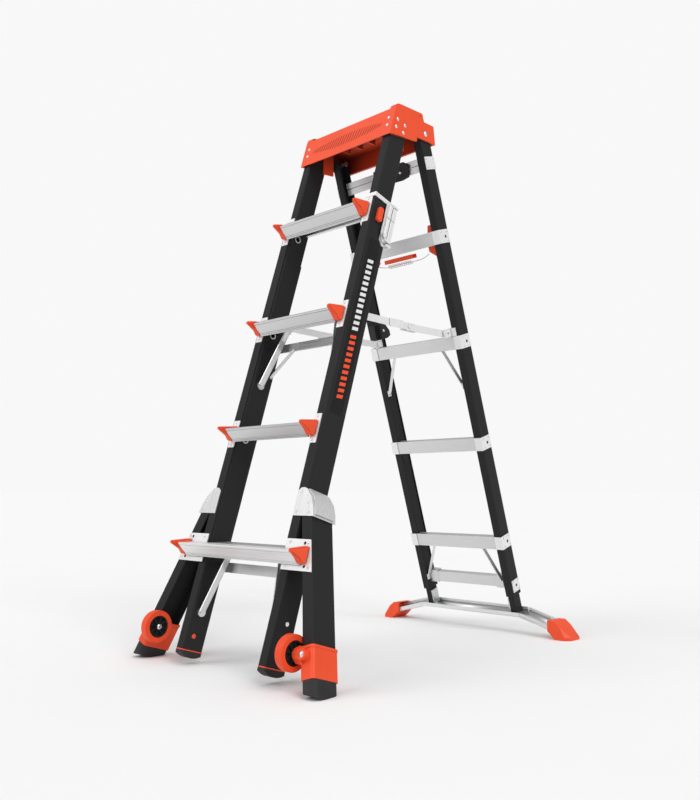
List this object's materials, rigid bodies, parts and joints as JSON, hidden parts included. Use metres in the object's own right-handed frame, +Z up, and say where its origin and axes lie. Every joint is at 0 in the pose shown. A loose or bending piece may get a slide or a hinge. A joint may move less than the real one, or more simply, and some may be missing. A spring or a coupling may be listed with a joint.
{
  "type": "multi position ladder",
  "caption": "Telescoping step ladder: treads in front, rungs behind, moulded cap, flared front legs with wheels, folding rear section and spreaders.",
  "frame": {"origin": "on the floor, midway between the two sides and midway between the front and rear limits of the stance", "axes": "+X to the climber's right when seen from behind the front treads (the near side in the picture), -Y the climbing front, +Z up"},
  "size_m": [0.708, 1.0698, 1.475],
  "materials": {
    "aluminium": "brushed",
    "black_metal": "satin",
    "black_plastic": "satin",
    "black_rail": "satin, glass fibre reinforced",
    "black_rubber": "matte",
    "orange_plastic": "satin",
    "orange_tyre": "satin",
    "steel": "zinc plated"
  },
  "bodies": {
    "upper_front": {"top_cap": "orange_plastic", "cap_rivets": "steel", "hinge_bolts": "steel", "front_inner_rail_left": "black_rail", "front_inner_rail_right": "black_rail", "inner_treads": "aluminium", "lock_bushes": "steel", "inner_braces": "aluminium", "inner_feet": "black_rubber", "inner_foot_trim": "orange_plastic", "spreader_brackets_front": "aluminium"},
    "lower_front": {"front_outer_rail_left": "black_rail", "front_outer_rail_right": "black_rail", "knee_bracket_left": "aluminium", "knee_bracket_right": "aluminium", "flared_leg_left": "black_rail", "flared_leg_right": "black_rail", "boot_left": "orange_plastic", "boot_right": "orange_plastic", "boot_pads": "black_rubber", "step_1": "aluminium", "step_2": "aluminium", "step_3": "aluminium", "step_4": "aluminium", "step_end_caps": "orange_plastic", "step_brackets": "aluminium", "front_rivets": "steel", "latch_frame_left": "aluminium", "latch_frame_right": "aluminium"},
    "wheel_left": {"tyre_left": "orange_tyre", "hub_left": "black_plastic"},
    "wheel_right": {"tyre_right": "orange_tyre", "hub_right": "black_plastic"},
    "latch_lever_left": {"latch_lever_left": "aluminium"},
    "latch_lever_right": {"latch_lever_right": "aluminium"},
    "front_lock_left": {"lock_pin_left": "orange_plastic"},
    "front_lock_right": {"lock_pin_right": "orange_plastic"},
    "upper_rear": {"rear_outer_rail_left": "black_rail", "rear_outer_rail_right": "black_rail", "rear_rungs": "aluminium", "rung_end_plates": "aluminium", "rear_braces": "aluminium", "rear_rivets": "steel", "top_crossbars": "aluminium", "black_brackets": "black_metal", "spreader_brackets_rear": "aluminium"},
    "lower_rear": {"rear_inner_rail_left": "black_rail", "rear_inner_rail_right": "black_rail", "rear_inner_rung": "aluminium", "base_bar": "aluminium", "base_feet": "orange_plastic", "base_brackets": "steel", "rear_lock_plates": "orange_plastic"},
    "release_handle": {"release_handle": "orange_plastic", "handle_spring": "steel", "handle_cable": "steel"},
    "rear_lock_left": {"rear_lock_pin_left": "steel"},
    "rear_lock_right": {"rear_lock_pin_right": "steel"},
    "spreader_front": {"spreader_front_links": "aluminium"},
    "spreader_rear": {"spreader_rear_links": "aluminium"}
  },
  "joints": [
    {"name": "front_extend", "type": "slide", "parent": "upper_front", "child": "lower_front", "axis": [0, -0.2974, -0.9548], "range_m": [0, 0.9144]},
    {"name": "rear_fold", "type": "hinge", "parent": "upper_front", "child": "upper_rear", "pos_m": [0, 0.0636, 1.4202], "axis": [-1, 0, 0], "range_deg": [0, 33.6]},
    {"name": "rear_extend", "type": "slide", "parent": "upper_rear", "child": "lower_rear", "axis": [0, 0.3074, -0.9516], "range_m": [0, 0.9144]},
    {"name": "wheel_spin_left", "type": "hinge", "parent": "lower_front", "child": "wheel_left", "pos_m": [-0.2545, -0.49732, 0.08383], "axis": [1, 0, 0], "continuous": true},
    {"name": "lever_left", "type": "hinge", "parent": "lower_front", "child": "latch_lever_left", "pos_m": [-0.1815, -0.08947, 1.11416], "axis": [0, -0.2974, -0.9548], "range_deg": [0, 16], "stiffness_Nm_per_rad": 1.5, "springref_deg": -20.05},
    {"name": "front_pin_left", "type": "slide", "parent": "lower_front", "child": "front_lock_left", "axis": [-1, 0, 0], "range_m": [0, 0.013]},
    {"name": "wheel_spin_right", "type": "hinge", "parent": "lower_front", "child": "wheel_right", "pos_m": [0.2545, -0.49732, 0.08383], "axis": [1, 0, 0], "continuous": true},
    {"name": "lever_right", "type": "hinge", "parent": "lower_front", "child": "latch_lever_right", "pos_m": [0.1815, -0.08947, 1.11416], "axis": [0, 0.2974, 0.9548], "range_deg": [0, 16], "stiffness_Nm_per_rad": 1.5, "springref_deg": -20.05},
    {"name": "front_pin_right", "type": "slide", "parent": "lower_front", "child": "front_lock_right", "axis": [1, 0, 0], "range_m": [0, 0.013]},
    {"name": "handle_squeeze", "type": "slide", "parent": "lower_rear", "child": "release_handle", "axis": [0, -0.3074, 0.9516], "range_m": [0, 0.006], "stiffness_N_per_m": 900, "springref_m": -0.008},
    {"name": "rear_pin_left", "type": "slide", "parent": "lower_rear", "child": "rear_lock_left", "axis": [1, 0, 0], "range_m": [0, 0.0125]},
    {"name": "rear_pin_right", "type": "slide", "parent": "lower_rear", "child": "rear_lock_right", "axis": [-1, 0, 0], "range_m": [0, 0.0125]},
    {"name": "spreader_front_fold", "type": "hinge", "parent": "upper_front", "child": "spreader_front", "pos_m": [0, -0.161, 0.877], "axis": [1, 0, 0], "range_deg": [0, 55]},
    {"name": "spreader_rear_fold", "type": "hinge", "parent": "upper_rear", "child": "spreader_rear", "pos_m": [0, 0.196, 0.874], "axis": [-1, 0, 0], "range_deg": [0, 91]}
  ],
  "couplings": [
    {"joint": "front_pin_left", "follows": "lever_left", "m_per_rad": 0.0458},
    {"joint": "front_pin_right", "follows": "lever_right", "m_per_rad": 0.0458},
    {"joint": "rear_pin_left", "follows": "handle_squeeze", "ratio": 2},
    {"joint": "rear_pin_right", "follows": "handle_squeeze", "ratio": 2},
    {"joint": "spreader_front_fold", "follows": "rear_fold", "ratio": 1.5883},
    {"joint": "spreader_rear_fold", "follows": "rear_fold", "ratio": 2.6513}
  ]
}
